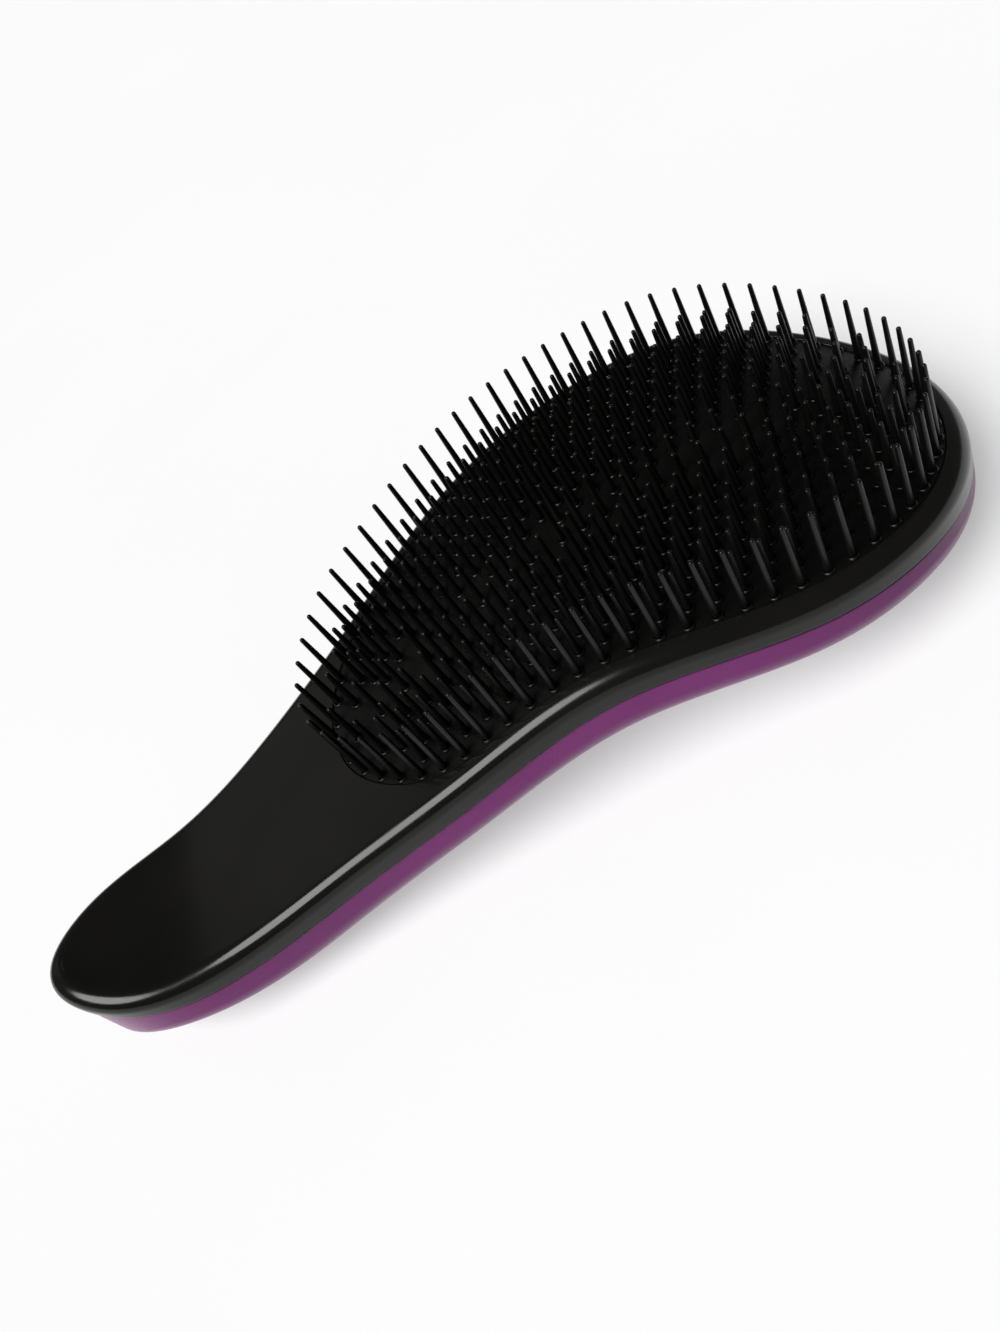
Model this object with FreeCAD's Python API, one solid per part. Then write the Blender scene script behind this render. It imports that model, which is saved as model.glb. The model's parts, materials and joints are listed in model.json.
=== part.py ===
import FreeCAD, Part
import math
import os

V = FreeCAD.Vector

# A detangling brush lying on its back, bristles up: +X runs from the handle to the tip of the head.
# Stations are millimetres from the handle's end, or from the window or the tip where the name says so.

# Outline seen from above, as half widths at stations
handle_length = 62.0
head_length = 120.0
heel_station, heel_half_width = 7.0, 10.8
grip_station, grip_half_width = 27.5, 16.5
waist_station, waist_half_width = 52.5, 19.5
neck_from_window, neck_half_width = 15.5, 24.3
flare_from_window, flare_half_width = 40.5, 29.9
widest_from_tip, widest_half_width = 46.0, 38.6
shoulder_from_tip, shoulder_half_width = 22.0, 34.5
nose_from_tip, nose_half_width = 7.5, 21.8

# Side view of the seam between the two shells, as heights over the surface that the brush lies on
seam_heel = 23.2
seam_grip = 15.2
seam_waist = 17.4
seam_neck = 22.3
crest_from_window, seam_crest = 41.5, 27.1
seam_widest = 21.7
seam_shoulder = 16.5
seam_tip = 7.3

# Side view of the back along its lowest line, and how far under the seam the back meets the sides
keel_heel = 6.5
keel_grip_station, keel_grip = 29.5, 0.0
keel_arch_from_window, keel_arch = 30.0, 8.0
keel_head_from_tip, keel_head = 20.0, 0.0
keel_tip = 0.2
back_edge_depth = 7.0

# Shells, with a tongue on the back cover that enters a rebate in the front shell
wall = 2.0
rim_height = 5.5
rim_round = 2.9
back_round = 6.4
tongue_thickness = 0.8
tongue_height = 1.8
tongue_clearance = 0.1

# Bristle plate, its flange, and the window in the front shell that it fills
window_end_depth = 19.0
window_inset = 3.4
window_clearance = 0.12
flange_thickness = 1.6
flange_clearance = 0.05
flange_side_clearance = 0.4
plate_recess = 0.3

# Bristles: rows across the head, each with a long pair at its ends and short ones within, and more
# short ones between the rows
row_count = 34
ring_margin = 1.1
row_gap = 3.5
row_spacing = 3.4
short_spacing = 3.0
mixed_spacing = 2.6
long_length = 12.3
short_length = 9.0
root_radius = 0.65
tip_radius = 0.42
hinge_clearance = 0.15
lean_limit = 15.0
lean_side_gap = 0.5

# Posts that hold the plate up against the front shell, and pins that line the shells up in the handle
post_radius = 2.2
post_spread = 13.0
post_from_window = (30.0, 60.0, 88.0)
pin_stations = (22.0, 46.0)
pin_radius = 1.6
pin_clearance = 0.05
pin_length = 8.0
pin_engagement = 5.0
boss_wall = 1.6

# Room to spare around the brush on the solids that only cut, and points along curves and surfaces
spare = 30.0
outline_steps = 48
end_steps = 8
section_steps = 18
across_steps = 6
back_spread = 1.5

length = handle_length + head_length
neck_station = handle_length + neck_from_window
flare_station = handle_length + flare_from_window
widest_station = length - widest_from_tip
shoulder_station = length - shoulder_from_tip


def spline(points):
    curve = Part.BSplineCurve()
    curve.interpolate(points)
    return curve


def mirrored_half(points):
    """A smooth half outline that meets its own mirror image square to the X axis at both ends."""
    other_side = [V(p.x, -p.y, 0) for p in reversed(points[1:-1])]
    curve = spline(other_side + points + other_side)
    curve.segment(curve.parameter(points[0]), curve.parameter(points[-1]))
    return curve


def at_station(curve, station):
    """The curve's parameter where it passes a station, found by halving."""
    low, high = curve.FirstParameter, curve.LastParameter
    for _ in range(50):
        middle = (low + high) / 2
        if curve.value(middle).x < station:
            low = middle
        else:
            high = middle
    return (low + high) / 2


def height(curve, station):
    return curve.value(at_station(curve, station)).z


def half_width(curve, station):
    return curve.value(at_station(curve, station)).y


def slope(curve, station):
    tangent = curve.tangent(at_station(curve, station))[0]
    return math.atan2(tangent.z, tangent.x)


def raised(curve, rise):
    moved = curve.copy()
    moved.translate(V(0, 0, rise))
    return moved


def inset_points(inset):
    """Points of the half outline moved inwards, square to it, from the handle's end to the tip."""
    first, last = OUTLINE.FirstParameter, OUTLINE.LastParameter
    points = []
    for i in range(outline_steps + 1):
        u = first + (last - first) * i / outline_steps
        tangent = OUTLINE.tangent(u)[0]
        points.append(OUTLINE.value(u) + V(tangent.y, -tangent.x, 0) * inset)
    points[0].y = 0
    points[-1].y = 0
    return points


def field_half(inset):
    """Half of the bristle field's edge: round at the handle, then along the outline round the head."""
    start = handle_length + inset - window_inset
    turn = handle_length + window_end_depth
    along = inset_points(inset)
    inner = mirrored_half(along)
    points = []
    for i in range(end_steps):
        angle = math.pi / 2 * i / end_steps
        station = turn - (turn - start) * math.cos(angle)
        points.append(V(station, half_width(inner, station) * math.sin(angle), 0))
    step = points[-1].x - points[-2].x
    return mirrored_half(points + [p for p in along if p.x > points[-1].x + step / 2])


def upright(half):
    """A tall prism on the face between a half outline and its mirror image."""
    edge = half.toShape()
    face = Part.Face(Part.Wire([edge, edge.mirror(V(0, 0, 0), V(0, 1, 0))]))
    prism = face.extrude(V(0, 0, seam_crest + rim_height + 2 * spare))
    prism.translate(V(0, 0, -spare))
    return prism


def body_prism(inset):
    return upright(mirrored_half(inset_points(inset)))


def field_prism(inset):
    return upright(field_half(inset))


def side_curve(points):
    """A side view's curve, run on straight past both ends of the brush."""
    curve = spline(points)
    start = curve.tangent(curve.FirstParameter)[0]
    end = curve.tangent(curve.LastParameter)[0]
    before = points[0] - start * (spare / 2 / start.x)
    after = points[-1] + end * (spare / 2 / end.x)
    return spline([before] + points + [after])


def under(curve):
    """All that lies below a side view's curve, wider than the brush."""
    first = curve.value(curve.FirstParameter)
    last = curve.value(curve.LastParameter)
    floor = -2 * spare
    corners = [last, V(last.x, 0, floor), V(first.x, 0, floor), first]
    wire = Part.Wire([curve.toShape()] + Part.makePolygon(corners).Edges)
    reach = widest_half_width + spare
    slab = Part.Face(wire).extrude(V(0, 2 * reach, 0))
    slab.translate(V(0, -reach, 0))
    return slab


def under_back(rise):
    """All that lies below the back, which curves up from its lowest line to its edges."""
    sections = []
    for i in range(section_steps + 1):
        station = -spare / 4 + (length + spare / 2) * i / section_steps
        low = height(KEEL, station)
        edge_rise = height(SEAM, station) - back_edge_depth - low
        reach = height(GUIDE, station)
        section = []
        for j in range(-across_steps, across_steps + 1):
            share = back_spread * j / across_steps
            section.append(V(station, share * reach, low + rise + edge_rise * share ** 2))
        sections.append(section)
    surface = Part.BSplineSurface()
    surface.interpolate(sections)
    return surface.toShape().extrude(V(0, 0, -4 * spare))


def edges_at(solid, inset, at_height):
    """Edges that run round the brush at a distance inside its outline, and at the height asked for."""
    outline = OUTLINE.toShape()

    def fits(point):
        depth = outline.distToShape(Part.Vertex(point.x, abs(point.y), 0))[0]
        return abs(depth - inset) < wall / 10 and at_height(point)

    return [edge for edge in solid.Edges if all(fits(point) for point in edge.discretize(9))]


def column(station, y, radius, low, high):
    return Part.makeCylinder(radius, high - low, V(station, y, low))


def tapered_pin(pin_height):
    """A bristle on its foot's centre: two round ends with the cone that touches both."""
    rise = pin_height - tip_radius
    lean = math.asin((root_radius - tip_radius) / rise)
    foot_touch = V(root_radius * math.cos(lean), 0, root_radius * math.sin(lean))
    tip_touch = V(tip_radius * math.cos(lean), 0, rise + tip_radius * math.sin(lean))
    half_turn = (math.pi / 2 - lean) / 2
    foot_side = V(root_radius * math.cos(math.pi / 4), 0, -root_radius * math.sin(math.pi / 4))
    tip_side = V(tip_radius * math.sin(half_turn), 0, rise + tip_radius * math.cos(half_turn))
    foot, tip = V(0, 0, -root_radius), V(0, 0, pin_height)
    edges = [
        Part.Arc(foot, foot_side, foot_touch).toShape(),
        Part.LineSegment(foot_touch, tip_touch).toShape(),
        Part.Arc(tip_touch, tip_side, tip).toShape(),
        Part.LineSegment(tip, foot).toShape(),
    ]
    return Part.Face(Part.Wire(edges)).revolve(V(0, 0, 0), V(0, 0, 1), 360)


def front_shell():
    room = body_prism(wall).common(under(raised(FACE, -wall)))
    rebate = body_prism(wall - tongue_thickness - tongue_clearance)
    room = room.fuse(rebate.common(under(raised(SEAM, tongue_height + tongue_clearance))))
    shell = body_prism(0).common(under(FACE)).cut(under(SEAM)).cut(room)
    shell = shell.cut(field_prism(window_inset))
    rim = edges_at(shell, 0, lambda p: abs(p.z - height(FACE, p.x)) < wall / 10)
    shell = shell.makeFillet(min(rim_round, window_inset - plate_recess, rim_height - plate_recess), rim)
    pins = []
    for station in pin_stations:
        face = height(FACE, station)
        pins.append(column(station, 0, pin_radius, face - wall - pin_length, face - wall / 2))
    return shell.fuse(pins).removeSplitter()


def below_seam(point):
    return point.z < height(SEAM, point.x) - wall / 2


def back_cover():
    tongue = body_prism(wall - tongue_thickness).common(under(raised(SEAM, tongue_height)))
    cover = body_prism(0).common(under(SEAM)).fuse(tongue).cut(under_back(0))
    cover = cover.cut(body_prism(wall).cut(under_back(wall)))
    rounding = min(back_round, back_edge_depth - wall / 4)
    cover = cover.makeFillet(rounding, edges_at(cover, 0, below_seam))
    cover = cover.makeFillet(rounding - wall, edges_at(cover, wall, below_seam))
    floor = under_back(wall / 2)
    plate_seat = under(raised(PLATE_UNDERSIDE, -flange_clearance))
    added = []
    for from_window in post_from_window:
        for y in (-post_spread, post_spread):
            post = column(handle_length + from_window, y, post_radius, -spare, seam_crest + spare)
            added.append(post.common(plate_seat).cut(floor))
    bores = []
    for station in pin_stations:
        boss_top = height(FACE, station) - wall - pin_length + pin_engagement
        bore_radius = pin_radius + pin_clearance
        added.append(column(station, 0, bore_radius + boss_wall, -spare, boss_top).cut(floor))
        bores.append(column(station, 0, bore_radius, boss_top - pin_engagement - wall / 2, boss_top + wall))
    return cover.fuse(added).cut(bores).removeSplitter()


def bristle_plate():
    underside = under(PLATE_UNDERSIDE)
    flange = field_prism(wall + flange_side_clearance)
    flange = flange.common(under(raised(FACE, -wall - flange_clearance))).cut(underside)
    pad = field_prism(window_inset + window_clearance).common(under(PAD)).cut(underside)
    return flange.fuse(pad).removeSplitter()


def inner_places(edge_place, gap):
    """Distances from the middle line of the bristles in a row, from its edge inwards, two gaps apart."""
    places = [edge_place]
    while places[-1] - 2 * gap > gap:
        places.append(places[-1] - 2 * gap)
    if places[-1] > 2 * gap - root_radius:
        places.append(0.0)
    return places


def apart(place, others, distance):
    return all(math.hypot(place[0] - x, place[1] - y) >= distance for x, y in others)


def both_sides(station, y):
    return [(station, y), (station, -y)] if y > 0 else [(station, 0.0)]


def bristle_rows():
    """Rows of bristles: long pairs evenly spaced along the field's edge, and short ones within."""
    ring = field_half(RING_INSET).toShape()
    ends = []
    for i in range(row_count):
        point = ring.valueAt(ring.getParameterByLength(ring.Length * (i + 0.5) / row_count))
        ends.append(both_sides(point.x, point.y))
    placed = [place for pair in ends for place in pair]
    rows = []
    for pair in ends:
        station, edge = pair[0]
        within = []
        for y in inner_places(edge, row_gap)[1:]:
            new = both_sides(station, y)
            if all(apart(place, placed, row_spacing) for place in new):
                within += new
                placed += new
        rows.append((pair, within))
    return rows


def clear_of_lean(place, row_places):
    """Whether the rows, leaning as far as they go, pass beside a bristle between them."""
    reach = short_length * math.tan(math.radians(lean_limit)) + 2 * root_radius
    side = 2 * root_radius + lean_side_gap
    return all(abs(place[0] - x) > reach or abs(place[1] - y) >= side for x, y in row_places)


def short_places(rows):
    """Places between the rows, a gap further in than the bristles beside them."""
    row_places = [place for pair, within in rows for place in pair + within]
    ring = field_half(RING_INSET)
    places = []
    for (pair, _), (after, _) in zip(rows, rows[1:]):
        station = (pair[0][0] + after[0][0]) / 2
        for y in inner_places(half_width(ring, station) - row_gap, row_gap):
            if y < 0:
                continue
            for place in both_sides(station, y):
                clear = apart(place, row_places, mixed_spacing) and apart(place, places, short_spacing)
                if clear and clear_of_lean(place, row_places):
                    places.append(place)
    return places


HALF_WIDTHS = [
    (grip_station, grip_half_width),
    (waist_station, waist_half_width),
    (neck_station, neck_half_width),
    (flare_station, flare_half_width),
    (widest_station, widest_half_width),
    (shoulder_station, shoulder_half_width),
]
OUTLINE = mirrored_half(
    [V(0, 0, 0), V(heel_station, heel_half_width, 0)]
    + [V(station, half, 0) for station, half in HALF_WIDTHS]
    + [V(length - nose_from_tip, nose_half_width, 0), V(length, 0, 0)]
)
GUIDE = side_curve(
    [V(0, 0, heel_half_width)]
    + [V(station, 0, half) for station, half in HALF_WIDTHS]
    + [V(length, 0, nose_half_width)]
)
SEAM = side_curve([
    V(0, 0, seam_heel),
    V(grip_station, 0, seam_grip),
    V(waist_station, 0, seam_waist),
    V(neck_station, 0, seam_neck),
    V(handle_length + crest_from_window, 0, seam_crest),
    V(widest_station, 0, seam_widest),
    V(shoulder_station, 0, seam_shoulder),
    V(length, 0, seam_tip),
])
KEEL = side_curve([
    V(0, 0, keel_heel),
    V(keel_grip_station, 0, keel_grip),
    V(handle_length + keel_arch_from_window, 0, keel_arch),
    V(length - keel_head_from_tip, 0, keel_head),
    V(length, 0, keel_tip),
])
FACE = raised(SEAM, rim_height)
PAD = raised(FACE, -plate_recess)
PLATE_UNDERSIDE = raised(FACE, -wall - flange_clearance - flange_thickness)
RING_INSET = window_inset + window_clearance + ring_margin

pieces = {
    "front_shell": front_shell(),
    "back_cover": back_cover(),
    "bristle_plate": bristle_plate(),
}

rows = bristle_rows()
long_pin = tapered_pin(long_length)
short_pin = tapered_pin(short_length)
hinges = {}
for number, (pair, within) in enumerate(rows, 1):
    station = pair[0][0]
    lift = (root_radius + hinge_clearance) / math.cos(slope(PAD, station))
    axis_height = height(PAD, station) + lift
    name = "bristle_row_%02d" % number
    longs = [long_pin.translated(V(x, y, axis_height)) for x, y in pair]
    shorts = [short_pin.translated(V(x, y, axis_height)) for x, y in within]
    pieces[name] = Part.Compound(longs + shorts)
    hinges[name] = (station, axis_height, len(longs), len(shorts))

fixed = short_places(rows)
pieces["short_bristles"] = Part.Compound([short_pin.translated(V(x, y, height(PAD, x))) for x, y in fixed])

# The origin is under the middle of the brush, at the height of the surface that it lies on
lowest = pieces["back_cover"].optimalBoundingBox().ZMin
origin = V(-length / 2, 0, -lowest)
os.makedirs("parts", exist_ok=True)
for name, shape in pieces.items():
    shape.translate(origin)
    shape.exportStep("parts/%s.step" % name)
    box = shape.optimalBoundingBox()
    print(name, len(shape.Solids), "solids, valid", shape.isValid(), "volume %.1f" % shape.Volume,
          "z %.2f to %.2f" % (box.ZMin, box.ZMax))
for name, (station, axis_height, longs, shorts) in hinges.items():
    print("hinge %s x %.4f z %.4f bristles %d"
          % (name, station + origin.x, axis_height + origin.z, longs + shorts))
print("bristles in rows", sum(hinge[2] + hinge[3] for hinge in hinges.values()), "between them", len(fixed))
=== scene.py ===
import json
import math

import bmesh
import bpy
import numpy as np
from mathutils import Matrix, Vector


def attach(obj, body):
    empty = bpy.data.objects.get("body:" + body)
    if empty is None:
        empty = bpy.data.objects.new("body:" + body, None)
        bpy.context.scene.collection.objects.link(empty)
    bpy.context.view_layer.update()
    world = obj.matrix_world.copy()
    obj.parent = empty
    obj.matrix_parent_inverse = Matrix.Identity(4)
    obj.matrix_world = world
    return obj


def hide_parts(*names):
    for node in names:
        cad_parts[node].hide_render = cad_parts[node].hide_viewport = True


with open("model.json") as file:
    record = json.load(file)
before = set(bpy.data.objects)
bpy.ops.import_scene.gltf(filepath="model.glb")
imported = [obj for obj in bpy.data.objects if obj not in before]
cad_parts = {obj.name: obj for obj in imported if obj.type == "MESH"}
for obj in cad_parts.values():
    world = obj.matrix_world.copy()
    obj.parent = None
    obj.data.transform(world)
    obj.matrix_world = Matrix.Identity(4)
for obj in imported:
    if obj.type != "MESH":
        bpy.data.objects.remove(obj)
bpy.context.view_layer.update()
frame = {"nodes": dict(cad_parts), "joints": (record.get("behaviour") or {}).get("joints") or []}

MM = 0.001

# Sizes of the brush in millimetres, as in the part: stations run from the handle's end to the tip
WINDOW_START = 62.0
LENGTH = WINDOW_START + 120.0
GRIP = 27.5
WAIST = 52.5
NECK = WINDOW_START + 15.5
WIDEST = LENGTH - 46.0
SHOULDER = LENGTH - 22.0
HALF_WIDTHS = [
    (GRIP, 16.5),
    (WAIST, 19.5),
    (NECK, 24.3),
    (WINDOW_START + 40.5, 29.9),
    (WIDEST, 38.6),
    (SHOULDER, 34.5),
]
HEEL_HALF_WIDTH, NOSE_HALF_WIDTH = 10.8, 21.8
OUTLINE_POINTS = [
    (0.0, 0.0),
    (7.0, HEEL_HALF_WIDTH),
    *HALF_WIDTHS,
    (LENGTH - 7.5, NOSE_HALF_WIDTH),
    (LENGTH, 0.0),
]
GUIDE_POINTS = [(0.0, HEEL_HALF_WIDTH), *HALF_WIDTHS, (LENGTH, NOSE_HALF_WIDTH)]
SEAM_POINTS = [
    (0.0, 23.2),
    (GRIP, 15.2),
    (WAIST, 17.4),
    (NECK, 22.3),
    (WINDOW_START + 41.5, 27.1),
    (WIDEST, 21.7),
    (SHOULDER, 16.5),
    (LENGTH, 7.3),
]
KEEL_POINTS = [
    (0.0, 6.5),
    (29.5, 0.0),
    (WINDOW_START + 30.0, 8.0),
    (LENGTH - 20.0, 0.0),
    (LENGTH, 0.2),
]
BACK_EDGE_DEPTH = 7.0
WALL = 2.0
RIM_HEIGHT = 5.5
RIM_ROUND = 2.9
BACK_ROUND = 6.4
WINDOW_TURN = WINDOW_START + 19.0
WINDOW_INSET = 3.4
PLATE_RECESS = 0.3
RUN_ON = 15.0

# Small reveals of the shells: rounded lips at the seam with a groove between them, and the window's soft edge
LIP = 0.22
LIP_STEPS = 6
SEAM_GAP = 0.18
OVERHANG = 0.35
COVER_DROP = 0.45
TONGUE_DEPTH = 0.9
TONGUE_CLEARANCE = 0.05
WINDOW_ROUND = 0.3

# The bristles, and the outline of the collars at their roots as radius and height
LONG_LENGTH = 12.3
SHORT_LENGTH = 9.0
ROOT_RADIUS = 0.65
TIP_RADIUS = 0.42
BRISTLE_SIDES = 14
COLLAR_SIDES = 12
COLLAR = [
    (1.1, -0.25),
    (1.05, 0.1),
    (0.95, 0.2),
    (0.86, 0.34),
    (0.78, 0.36),
    (0.72, 0.28),
    (0.72, -0.25),
    (1.1, -0.25),
]


def interpolate(points, steps):
    """A smooth cubic curve through points, its ends as the cubics through the last four points leave them."""
    points = np.array(points, float)
    t = np.concatenate([[0.0], np.cumsum(np.linalg.norm(np.diff(points, axis=0), axis=1))])
    h = np.diff(t)
    count = len(t)

    def end_slope(where, nodes, values):
        total = np.zeros(values.shape[1])
        for i in range(4):
            others = [j for j in range(4) if j != i]
            scale = np.prod([nodes[i] - nodes[j] for j in others])
            parts = sum(np.prod([where - nodes[k] for k in others if k != j]) for j in others)
            total += values[i] * parts / scale
        return total

    first = end_slope(t[0], t[:4], points[:4])
    last = end_slope(t[-1], t[-4:], points[-4:])
    matrix = np.zeros((count, count))
    right = np.zeros((count, points.shape[1]))
    matrix[0, 0] = matrix[-1, -1] = 1.0
    right[0], right[-1] = first, last
    for i in range(1, count - 1):
        matrix[i, i - 1] = 1 / h[i - 1]
        matrix[i, i] = 2 / h[i - 1] + 2 / h[i]
        matrix[i, i + 1] = 1 / h[i]
        rise = (points[i] - points[i - 1]) / h[i - 1] ** 2 + (points[i + 1] - points[i]) / h[i] ** 2
        right[i] = 3 * rise
    slopes = np.linalg.solve(matrix, right)
    where = np.unique(np.concatenate([t, np.linspace(t[0], t[-1], steps)]))
    span = np.clip(np.searchsorted(t, where, side="right") - 1, 0, count - 2)
    s = ((where - t[span]) / h[span])[:, None]
    width = h[span][:, None]
    a, b = points[span], points[span + 1]
    ma, mb = slopes[span] * width, slopes[span + 1] * width
    return a + s * ma + s * s * (3 * (b - a) - 2 * ma - mb) + s ** 3 * (2 * (a - b) + ma + mb)


def side_curve(points):
    """A side view's curve as stations and heights, run on straight past both ends."""
    plain = interpolate(points, 4000)
    start = plain[1] - plain[0]
    end = plain[-1] - plain[-2]
    before = np.array(points[0]) - start * (RUN_ON / start[0])
    after = np.array(points[-1]) + end * (RUN_ON / end[0])
    return interpolate([before, *points, after], 6000)


def mirrored_half(points, steps):
    """A half outline that meets its own mirror image square to the X axis at both ends."""
    points = np.array(points, float)
    other = points[-2:0:-1] * (1, -1)
    whole = interpolate(np.concatenate([other, points, other]), steps * 3)
    first = np.argmin(np.linalg.norm(whole - points[0], axis=1))
    last = np.argmin(np.linalg.norm(whole - points[-1], axis=1))
    return whole[first:last + 1]


SEAM = side_curve(SEAM_POINTS)
KEEL = side_curve(KEEL_POINTS)
GUIDE = side_curve(GUIDE_POINTS)
# The part stands on its lowest line
LIFT = -KEEL[(KEEL[:, 0] > 0) & (KEEL[:, 0] < LENGTH), 1].min()


def seam(station):
    return np.interp(station, SEAM[:, 0], SEAM[:, 1])


def face(station):
    return seam(station) + RIM_HEIGHT


def back(station, y):
    low = np.interp(station, KEEL[:, 0], KEEL[:, 1])
    share = y / np.interp(station, GUIDE[:, 0], GUIDE[:, 1])
    return low + (seam(station) - BACK_EDGE_DEPTH - low) * share ** 2


def along(curve, places):
    """Points of a dense curve at distances along it."""
    run = np.concatenate([[0.0], np.cumsum(np.linalg.norm(np.diff(curve, axis=0), axis=1))])
    return np.stack([np.interp(places, run, curve[:, k]) for k in range(2)], 1)


def curve_length(curve):
    return np.linalg.norm(np.diff(curve, axis=0), axis=1).sum()


def inward(points):
    """Unit directions into the brush, square to a half outline."""
    tangent = np.gradient(points, axis=0)
    tangent[0], tangent[-1] = (0, 1), (0, -1)
    tangent /= np.linalg.norm(tangent, axis=1)[:, None]
    return np.stack([tangent[:, 1], -tangent[:, 0]], 1)


OUTLINE = mirrored_half(OUTLINE_POINTS, 9000)


def inset_curve(inset):
    points = along(OUTLINE, np.linspace(0, curve_length(OUTLINE), 1201))
    return points + inward(points) * inset


def field_curve(inset):
    """Half of the bristle field's edge: round at the handle, then along the outline round the head."""
    start = WINDOW_START + inset - WINDOW_INSET
    inner = inset_curve(inset)
    peak = np.argmax(inner[:, 1])
    angles = np.linspace(0, math.pi / 2, 9)[:-1]
    stations = WINDOW_TURN - (WINDOW_TURN - start) * np.cos(angles)
    width = np.interp(stations, inner[:peak, 0], inner[:peak, 1])
    end = np.stack([stations, width * np.sin(angles)], 1)
    coarse = inner[::25]
    rest = coarse[coarse[:, 0] > stations[-1] + 2.0]
    return mirrored_half(np.concatenate([end, rest]), 4000)


def both_halves(rows):
    """The rows of a half, and those of its mirror image, as one list of grids with the same winding."""
    rows = np.array(rows)
    return [(rows, False), (rows * (1, -1, 1), True)]


def grid_mesh(bm, rows, flip):
    """Adds a grid of quads; rows are in millimetres, with stations along X."""
    shift = np.array((-LENGTH / 2, 0, LIFT))
    verts = [[bm.verts.new((point + shift) * MM) for point in row] for row in rows]
    for low, high in zip(verts, verts[1:]):
        for i in range(len(low) - 1):
            loop = [low[i], low[i + 1], high[i + 1], high[i]]
            bm.faces.new(loop[::-1] if flip else loop)


def finish_mesh(bm, name, material, body, node=None):
    bmesh.ops.remove_doubles(bm, verts=bm.verts, dist=1e-6)
    bmesh.ops.dissolve_degenerate(bm, dist=1e-7, edges=bm.edges)
    bmesh.ops.recalc_face_normals(bm, faces=bm.faces)
    for f in bm.faces:
        f.smooth = True
    mesh = bpy.data.meshes.new(name)
    bm.to_mesh(mesh)
    bm.free()
    mesh.materials.append(material)
    obj = bpy.data.objects.new(name, mesh)
    bpy.context.scene.collection.objects.link(obj)
    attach(obj, body)
    if node:
        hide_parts(node)


def shell_stations():
    """Distances along the outline, closer together round the ends and by the window's round end."""
    end_reach, turn_angle, least_step = 12, 1.2, 0.25
    total = curve_length(OUTLINE)
    even = np.linspace(0, total, 421)
    points = along(OUTLINE, even)
    edge = points + inward(points) * RIM_ROUND
    half = np.argmax(edge[:, 1])
    angles = np.linspace(0, turn_angle, 40)
    stations = WINDOW_TURN - (WINDOW_TURN - WINDOW_START) * np.cos(angles)
    extra = np.interp(stations, edge[:half, 0], even[:half])
    ends = np.concatenate([np.linspace(0, end_reach, 40), total - np.linspace(0, end_reach, 30)])
    middle = even[(even > end_reach) & (even < total - end_reach)]
    kept = [d for d in middle if np.min(np.abs(extra - d)) > least_step]
    return np.sort(np.concatenate([kept, extra, ends]))


PLACES = shell_stations()
FINE = np.linspace(0, curve_length(OUTLINE), 2401)
FINE_EDGE = along(OUTLINE, FINE)
FINE_INWARD = inward(FINE_EDGE)
EDGE = along(OUTLINE, PLACES)
INWARD = np.stack([np.interp(PLACES, FINE, FINE_INWARD[:, k]) for k in range(2)], 1)
INWARD /= np.linalg.norm(INWARD, axis=1)[:, None]


def slice_points(depth):
    """The outline moved inwards; depth is one number, or one for each place."""
    moved = EDGE + INWARD * np.reshape(depth, (-1, 1))
    moved[:, 1] = np.maximum(moved[:, 1], 0)
    return moved


def smooth_run(values):
    """Evens out the steps that a sampled search leaves along a curve."""
    reach = 20
    kernel = np.hanning(2 * reach + 1)
    padded = np.concatenate([values[reach:0:-1], values, values[-2:-reach - 2:-1]])
    return np.convolve(padded, kernel / kernel.sum(), "valid")


def seated_ball(height_at, radius, above):
    """Where a ball that touches the outer wall rests on a surface, in a slice square to the wall.
    Gives the ball's centre height and the depth where it touches, for each place."""
    depths = np.linspace(0, 2 * radius, 241)
    arch = np.sqrt(np.maximum(radius ** 2 - (depths - radius) ** 2, 0))
    heights = np.stack([height_at(FINE_EDGE + FINE_INWARD * d) for d in depths], 1)
    centres = heights + arch if above else heights - arch
    best = np.argmax(centres, 1) if above else np.argmin(centres, 1)
    centre = centres[np.arange(len(best)), best]
    return [np.interp(PLACES, FINE, smooth_run(values)) for values in (centre, depths[best])]


def lifted(points, heights):
    return np.column_stack([points, heights])


def columns(*stacks):
    """Turns a list of point columns, one point for each place, into rows of a grid."""
    return np.stack(stacks, 1)


def shares(steps):
    """Equal shares of a run, without its start and with its end."""
    return np.linspace(0, 1, steps + 1)[1:]


def shell_mesh(*grids):
    """A mesh of grids, each with its mirror image."""
    bm = bmesh.new()
    for grid in grids:
        for rows, flip in both_halves(grid):
            grid_mesh(bm, rows, flip)
    return bm


def window_half_width(stations):
    edge = field_curve(WINDOW_INSET)
    peak = np.argmax(edge[:, 1])
    return np.interp(stations, edge[:peak, 0], edge[:peak, 1], left=0.0)


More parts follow.
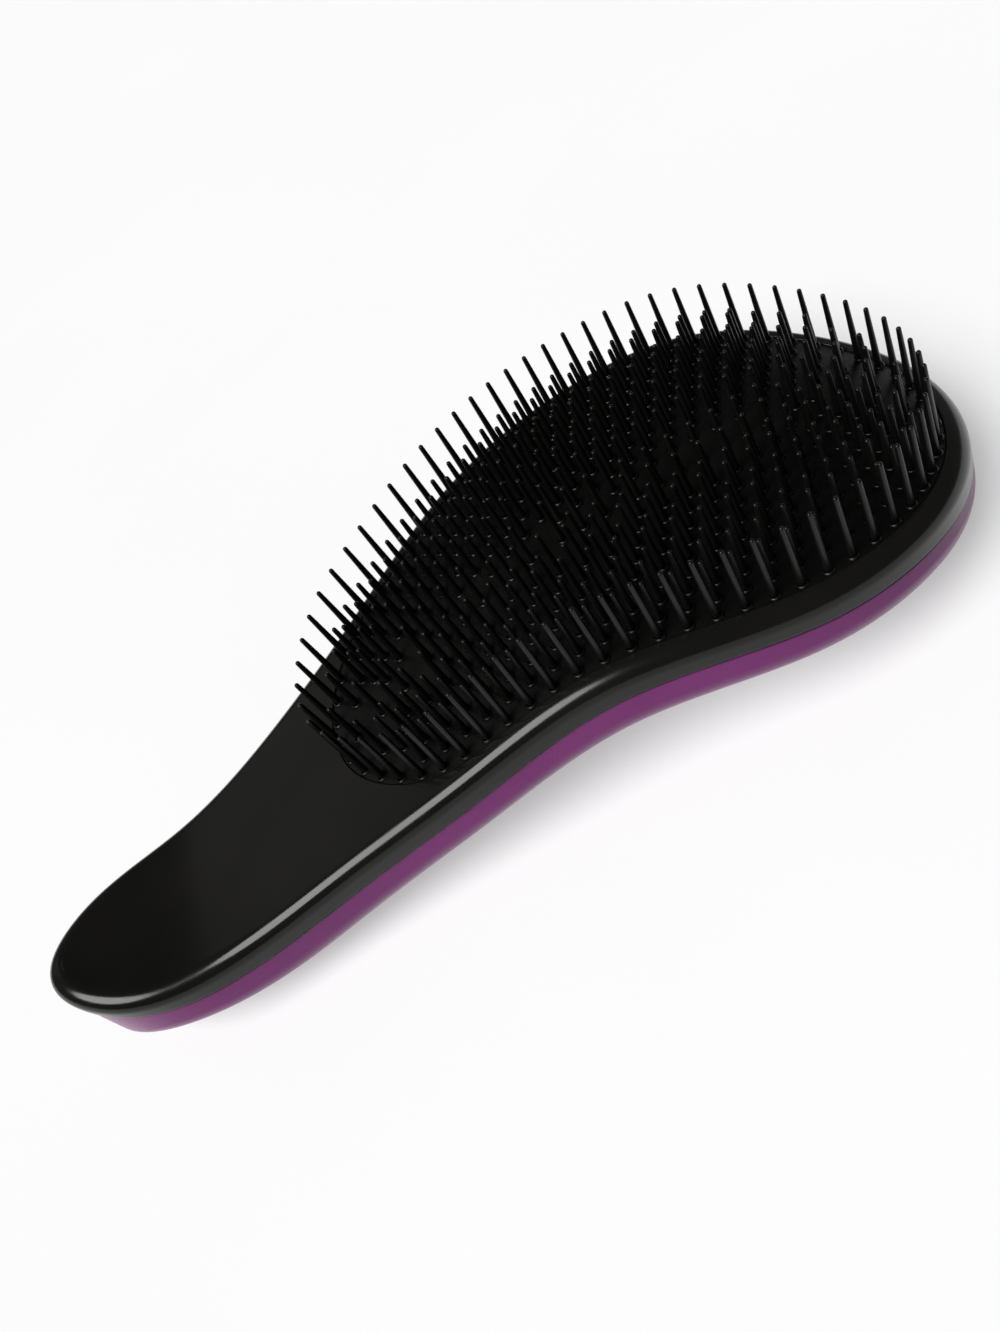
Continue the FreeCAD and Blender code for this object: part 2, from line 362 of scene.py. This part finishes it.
def front_shell(material):
    """The black shell: outer wall, rounded rim, face, window edge, and the inside that carries the plate."""
    centre, touch = seated_ball(lambda spots: face(spots[:, 0]), RIM_ROUND, False)
    rim = slice_points(touch)
    beside = np.stack([rim[:, 0], window_half_width(rim[:, 0])], 1)
    partner = np.where(EDGE[:, :1] >= WINDOW_TURN, slice_points(WINDOW_INSET), beside)
    stacks = []
    for a in np.linspace(math.pi / 2, 0, LIP_STEPS):
        low = slice_points(LIP * (1 - math.cos(a)))
        stacks.append(lifted(low, seam(low[:, 0]) + SEAM_GAP + LIP * (1 - math.sin(a))))
    wall_low = seam(EDGE[:, 0]) + SEAM_GAP + LIP
    for share in shares(8):
        stacks.append(lifted(EDGE, wall_low + (centre - wall_low) * share))
    end_angle = np.arccos(np.clip((RIM_ROUND - touch) / RIM_ROUND, -1, 1))
    for share in shares(16):
        angle = end_angle * share
        spot = slice_points(RIM_ROUND * (1 - np.cos(angle)))
        stacks.append(lifted(spot, centre + RIM_ROUND * np.sin(angle)))
    outward = rim - partner
    outward /= np.maximum(np.linalg.norm(outward, axis=1, keepdims=True), 1e-6)
    bead = np.where(rim[:, :1] >= WINDOW_START, WINDOW_ROUND, 0.0)
    for share in shares(24):
        spot = rim + (partner + outward * bead - rim) * share
        stacks.append(lifted(spot, face(spot[:, 0])))
    for a in shares(5) * (math.pi / 2):
        spot = partner + outward * bead * (1 - math.sin(a))
        stacks.append(lifted(spot, face(spot[:, 0]) - bead[:, 0] * (1 - math.cos(a))))
    inside = []
    for share in np.linspace(1, 0, 13):
        spot = slice_points(WALL) * (1 - share) + partner * share
        inside.append(lifted(spot, face(spot[:, 0]) - WALL))
    tongue_end = TONGUE_CLEARANCE - COVER_DROP
    for depth, rise in ((WALL, tongue_end), (TONGUE_DEPTH, tongue_end), (TONGUE_DEPTH, SEAM_GAP)):
        spot = slice_points(depth)
        inside.append(lifted(spot, seam(spot[:, 0]) + rise))
    inside.append(stacks[0])
    open_part = slice(int(np.argmax(rim[:, 0] >= WINDOW_START)), None)
    edge_wall = columns(stacks[-1], inside[0])[open_part]
    bm = shell_mesh(columns(*stacks), columns(*inside), edge_wall)
    finish_mesh(bm, "front_shell_moulding", material, "brush", "front_shell")


def back_cover(material):
    """The purple cover: outer wall, rounded lower edge and curved back, with the inside that closes it."""
    centre, touch = seated_ball(lambda spots: back(spots[:, 0], spots[:, 1]), BACK_ROUND, True)
    centre = np.minimum(centre, seam(EDGE[:, 0]) - COVER_DROP - 2 * LIP)
    stacks = []
    for a in np.linspace(math.pi / 2, 0, LIP_STEPS):
        low = slice_points(OVERHANG + LIP * (1 - math.cos(a)))
        stacks.append(lifted(low, seam(low[:, 0]) - COVER_DROP - LIP * (1 - math.sin(a))))
    wall_high = seam(EDGE[:, 0]) - COVER_DROP - LIP
    for share in shares(10):
        spot = slice_points(OVERHANG * (1 - share))
        stacks.append(lifted(spot, wall_high + (centre - wall_high) * share))
    end_angle = np.arccos(np.clip((BACK_ROUND - touch) / BACK_ROUND, -1, 1))
    for share in shares(18):
        angle = end_angle * share
        spot = slice_points(BACK_ROUND * (1 - np.cos(angle)))
        stacks.append(lifted(spot, centre - BACK_ROUND * np.sin(angle)))
    low_edge = slice_points(touch)
    for share in shares(24):
        spot = low_edge * (1, 1 - share)
        stacks.append(lifted(spot, back(spot[:, 0], spot[:, 1])))
    inside = []
    inner_edge = slice_points(BACK_ROUND)
    for share in np.linspace(1, 0, 9):
        spot = inner_edge * (1, 1 - share)
        inside.append(lifted(spot, back(spot[:, 0], spot[:, 1]) + WALL))
    inside.append(lifted(slice_points(WALL), np.maximum(centre, inside[-1][:, 2])))
    inside.append(lifted(slice_points(WALL), seam(slice_points(WALL)[:, 0]) - COVER_DROP))
    inside.append(stacks[0])
    bm = shell_mesh(columns(*stacks), columns(*inside))
    finish_mesh(bm, "back_cover_moulding", material, "brush", "back_cover")


def tips_of(node):
    """Where a CAD node's bristles end, in millimetres: the highest point of each."""
    mesh = frame["nodes"][node].data
    points = np.zeros(len(mesh.vertices) * 3)
    mesh.vertices.foreach_get("co", points)
    points = points.reshape(-1, 3) / MM
    found = np.zeros((0, 3))
    for point in points[np.argsort(-points[:, 2])]:
        if len(found) == 0 or np.min(np.hypot(*(found[:, :2] - point[:2]).T)) > 2 * ROOT_RADIUS:
            found = np.vstack([found, point])
    return found


def lathe(bm, centre, profile, sides):
    """Turns a profile of (radius, height) round an upright axis; a radius of 0 closes an end."""
    rings = []
    for radius, height in profile:
        if radius == 0:
            rings.append([bm.verts.new((centre[0] * MM, centre[1] * MM, (centre[2] + height) * MM))])
            continue
        ring = []
        for i in range(sides):
            angle = 2 * math.pi * i / sides
            x = centre[0] + radius * math.cos(angle)
            y = centre[1] + radius * math.sin(angle)
            ring.append(bm.verts.new((x * MM, y * MM, (centre[2] + height) * MM)))
        rings.append(ring)
    for low, high in zip(rings, rings[1:]):
        for i in range(sides):
            j = (i + 1) % sides
            loop = [low[i % len(low)], low[j % len(low)], high[j % len(high)], high[i % len(high)]]
            loop = list(dict.fromkeys(loop))
            if len(loop) > 2:
                bm.faces.new(loop)


def bristle_profile(length):
    """A bristle from the bottom of its round foot to its round tip, with the foot's centre at height 0."""
    rise = length - TIP_RADIUS
    lean = math.asin((ROOT_RADIUS - TIP_RADIUS) / rise)
    profile = [(0, -ROOT_RADIUS)]
    for angle in np.linspace(-math.pi / 2, lean, 5)[1:]:
        profile.append((ROOT_RADIUS * math.cos(angle), ROOT_RADIUS * math.sin(angle)))
    for share in (0.06, 0.35, 0.65, 0.94):
        radius = ROOT_RADIUS + (TIP_RADIUS - ROOT_RADIUS) * share
        profile.append((radius * math.cos(lean), rise * share + radius * math.sin(lean)))
    for angle in np.linspace(lean, math.pi / 2, 6)[:-1]:
        profile.append((TIP_RADIUS * math.cos(angle), rise + TIP_RADIUS * math.sin(angle)))
    profile.append((0, length))
    return profile


def plate_height(tips):
    return face(tips[:, 0] + LENGTH / 2) - PLATE_RECESS + LIFT


def bristles(name, tips, material, body, node):
    """Bristles that end at given tips; the high ones are long."""
    bm = bmesh.new()
    is_long = tips[:, 2] - plate_height(tips) > (LONG_LENGTH + SHORT_LENGTH) / 2
    for (x, y, z), tall in zip(tips, is_long):
        length = LONG_LENGTH if tall else SHORT_LENGTH
        lathe(bm, (x, y, z - length), bristle_profile(length), BRISTLE_SIDES)
    finish_mesh(bm, name, material, body, node)


def root_collars(tips, material):
    """Small moulded rings on the plate, where each bristle rises out of it."""
    bm = bmesh.new()
    for x, y, z in np.column_stack([tips[:, :2], plate_height(tips)]):
        lathe(bm, (x, y, z), COLLAR, COLLAR_SIDES)
    finish_mesh(bm, "bristle_root_collars", material, "brush")


def linear(red, green, blue):
    """A colour given as it looks on screen, from 0 to 255, in the linear values that shaders use."""
    def one(value):
        value /= 255
        return value / 12.92 if value <= 0.04045 else ((value + 0.055) / 1.055) ** 2.4
    return one(red), one(green), one(blue), 1.0


class Nodes:
    """A material's node tree, with short ways to add what every plastic here uses."""

    def __init__(self, name):
        self.material = bpy.data.materials.new(name)
        self.material.use_nodes = True
        self.tree = self.material.node_tree
        self.shader = self.tree.nodes["Principled BSDF"]
        self.coords = self.add("ShaderNodeTexCoord").outputs["Object"]

    def add(self, kind, **settings):
        node = self.tree.nodes.new(kind)
        for key, value in settings.items():
            setattr(node, key, value)
        return node

    def join(self, source, target):
        self.tree.links.new(source, target)

    def noise(self, scale, detail=3.0, stretch=(1, 1, 1)):
        mapping = self.add("ShaderNodeMapping")
        mapping.inputs["Scale"].default_value = stretch
        self.join(self.coords, mapping.inputs["Vector"])
        node = self.add("ShaderNodeTexNoise")
        node.inputs["Scale"].default_value = scale
        node.inputs["Detail"].default_value = detail
        self.join(mapping.outputs["Vector"], node.inputs["Vector"])
        return node.outputs["Fac"]

    def ramp(self, source, stops):
        node = self.add("ShaderNodeValToRGB")
        elements = node.color_ramp.elements
        while len(elements) < len(stops):
            elements.new(0.5)
        for element, (place, colour) in zip(elements, stops):
            element.position = place
            element.color = colour
        self.join(source, node.inputs["Fac"])
        return node.outputs["Color"]

    def span(self, source, low, high, start=0.3, end=0.7):
        node = self.add("ShaderNodeMapRange")
        node.inputs["From Min"].default_value = start
        node.inputs["From Max"].default_value = end
        node.inputs["To Min"].default_value = low
        node.inputs["To Max"].default_value = high
        self.join(source, node.inputs["Value"])
        return node.outputs["Result"]

    def maths(self, operation, first, second):
        node = self.add("ShaderNodeMath", operation=operation)
        for socket, value in zip(node.inputs, (first, second)):
            if isinstance(value, float):
                socket.default_value = value
            else:
                self.join(value, socket)
        return node.outputs[0]

    def bump(self, height, depth):
        node = self.add("ShaderNodeBump")
        node.inputs["Distance"].default_value = depth
        self.join(height, node.inputs["Height"])
        self.join(node.outputs["Normal"], self.shader.inputs["Normal"])

    def set(self, **values):
        for name, value in values.items():
            self.shader.inputs[name.replace("_", " ")].default_value = value


def gloss_black():
    """Polished black plastic with faint handling smears and hairline marks along the handle."""
    m = Nodes("gloss_black_plastic")
    cloud = m.noise(45.0)
    tone = m.ramp(cloud, [(0.3, linear(14, 14, 12)), (0.7, linear(21, 20, 18))])
    m.join(tone, m.shader.inputs["Base Color"])
    smear = m.span(m.noise(28.0, 4.0, (1, 1.6, 1)), 0.1, 0.2)
    hair = m.span(m.noise(900.0, 2.0, (0.05, 1, 1)), 0.0, 0.05, 0.55, 0.75)
    m.join(m.maths("ADD", smear, hair), m.shader.inputs["Roughness"])
    m.bump(m.noise(700.0, 2.0), 0.000004)
    m.set(IOR=1.32)
    return m.material


def gloss_purple():
    """Purple plastic with a clear gloss and the soft cloudiness of moulded pigment."""
    m = Nodes("gloss_purple_plastic")
    cloud = m.noise(60.0, 5.0)
    tone = m.ramp(cloud, [(0.3, linear(106, 33, 98)), (0.7, linear(115, 38, 106))])
    m.join(tone, m.shader.inputs["Base Color"])
    m.join(m.span(m.noise(35.0, 4.0), 0.2, 0.32), m.shader.inputs["Roughness"])
    m.bump(m.noise(650.0, 2.0), 0.000005)
    m.set(IOR=1.33)
    return m.material


def satin_black(name, low, high):
    """Black bristle plastic: satin, with fine streaks along the bristle left by the mould."""
    m = Nodes(name)
    cloud = m.noise(160.0, 3.0)
    m.join(m.ramp(cloud, [(0.3, low), (0.7, high)]), m.shader.inputs["Base Color"])
    streak = m.noise(2600.0, 2.0, (1, 1, 0.04))
    m.join(m.span(streak, 0.26, 0.42), m.shader.inputs["Roughness"])
    m.bump(streak, 0.000008)
    m.set(IOR=1.31)
    return m.material


BLACK = gloss_black()
PURPLE = gloss_purple()
BRISTLE = satin_black("satin_black_bristle", linear(8, 8, 7), linear(14, 14, 13))
PLATE = satin_black("satin_black_plate", linear(7, 7, 6), linear(11, 11, 10))

front_shell(BLACK)
back_cover(PURPLE)

plate = frame["nodes"]["bristle_plate"]
plate.data.materials.clear()
plate.data.materials.append(PLATE)

bodies = {}
for joint in frame["joints"]:
    bodies["bristle_" + joint["child"]] = joint["child"]
every_tip = []
for node, body in [*bodies.items(), ("short_bristles", "brush")]:
    tips = tips_of(node)
    every_tip.append(tips)
    bristles(node + "_moulding", tips, BRISTLE, body, node)
root_collars(np.concatenate(every_tip), PLATE)


def floor_material():
    """A pale floor lit a little from below, as a light table is, so that shadows on it stay soft."""
    glow = 0.42
    m = Nodes("pale_floor")
    tone = m.ramp(m.noise(6.0, 4.0), [(0.3, (0.5, 0.5, 0.5, 1)), (0.7, (0.52, 0.52, 0.52, 1))])
    m.join(tone, m.shader.inputs["Base Color"])
    rays = m.add("ShaderNodeLightPath").outputs
    seen = m.maths("ADD", rays["Is Camera Ray"], rays["Is Glossy Ray"])
    seen = m.maths("ADD", seen, rays["Is Transmission Ray"])
    m.join(m.maths("MULTIPLY", seen, glow), m.shader.inputs["Emission Strength"])
    m.set(Roughness=0.85)
    return m.material


def floor():
    bm = bmesh.new()
    bmesh.ops.create_circle(bm, cap_ends=True, segments=96, radius=4.0)
    mesh = bpy.data.meshes.new("floor")
    bm.to_mesh(mesh)
    bm.free()
    mesh.materials.append(floor_material())
    obj = bpy.data.objects.new("floor", mesh)
    bpy.context.scene.collection.objects.link(obj)


floor()


def aimed(position, target):
    """A turn that points an object's -Z from a position at a target."""
    direction = Vector(target) - Vector(position)
    turn = direction.to_track_quat("-Z", "Y").to_matrix().to_4x4()
    return Matrix.Translation(position) @ turn


def soft_box(name, position, target, width, depth, power):
    """A rectangular panel of light that faces a target."""
    lamp = bpy.data.lights.new(name, "AREA")
    lamp.shape = "RECTANGLE"
    lamp.size = width
    lamp.size_y = depth
    lamp.energy = power
    obj = bpy.data.objects.new(name, lamp)
    obj.matrix_world = aimed(position, target)
    bpy.context.scene.collection.objects.link(obj)


def soft_sun(name, source, spread, strength):
    """An even soft light from a direction over the brush, as wide as its spread in degrees."""
    lamp = bpy.data.lights.new(name, "SUN")
    lamp.energy = strength
    lamp.angle = math.radians(spread)
    obj = bpy.data.objects.new(name, lamp)
    obj.matrix_world = aimed(source, (0, 0, 0))
    bpy.context.scene.collection.objects.link(obj)


soft_sun("overhead_light", source=(-0.72, -0.32, 1.0), spread=36.0, strength=3.95)
soft_box("far_panel", (-0.62, 0.75, 0.8), target=(-0.03, 0, 0.03), width=0.5, depth=0.6, power=0.19)

world = bpy.data.worlds.new("soft_room")
bpy.context.scene.world = world
world.use_nodes = True
background = world.node_tree.nodes["Background"]
background.inputs["Color"].default_value = (0.085, 0.085, 0.084, 1)
background.inputs["Strength"].default_value = 1.0

# The camera, from the photograph's fitted view: image 1000 wide and 1332 high
FOCAL_PIXELS, IMAGE_WIDTH = 1062.4, 1000.0
SENSOR_WIDTH = 36.0
AZIMUTH, ELEVATION, ROLL = math.radians(0.48), math.radians(46.83), math.radians(-38.89)
DISTANCE = 183.84
TARGET = Vector((92.39 - LENGTH / 2, 0, 17.53 + LIFT)) * MM
level = math.cos(ELEVATION)
back_way = Vector((math.sin(AZIMUTH) * level, -math.cos(AZIMUTH) * level, math.sin(ELEVATION)))
right_way = Vector((math.cos(AZIMUTH), math.sin(AZIMUTH), 0))
up_way = back_way.cross(right_way)
cam_x = right_way * math.cos(ROLL) + up_way * math.sin(ROLL)
cam_y = up_way * math.cos(ROLL) - right_way * math.sin(ROLL)
camera_data = bpy.data.cameras.new("camera")
camera_data.sensor_fit = "HORIZONTAL"
camera_data.sensor_width = SENSOR_WIDTH
camera_data.lens = SENSOR_WIDTH * FOCAL_PIXELS / IMAGE_WIDTH
camera_data.clip_start = 0.01
camera = bpy.data.objects.new("camera", camera_data)
bpy.context.scene.collection.objects.link(camera)
turn = Matrix((cam_x, cam_y, back_way)).transposed().to_4x4()
camera.matrix_world = Matrix.Translation(TARGET + back_way * (DISTANCE * MM)) @ turn
bpy.context.scene.camera = camera
bpy.context.scene.view_settings.view_transform = "Standard"

bpy.context.view_layer.update()
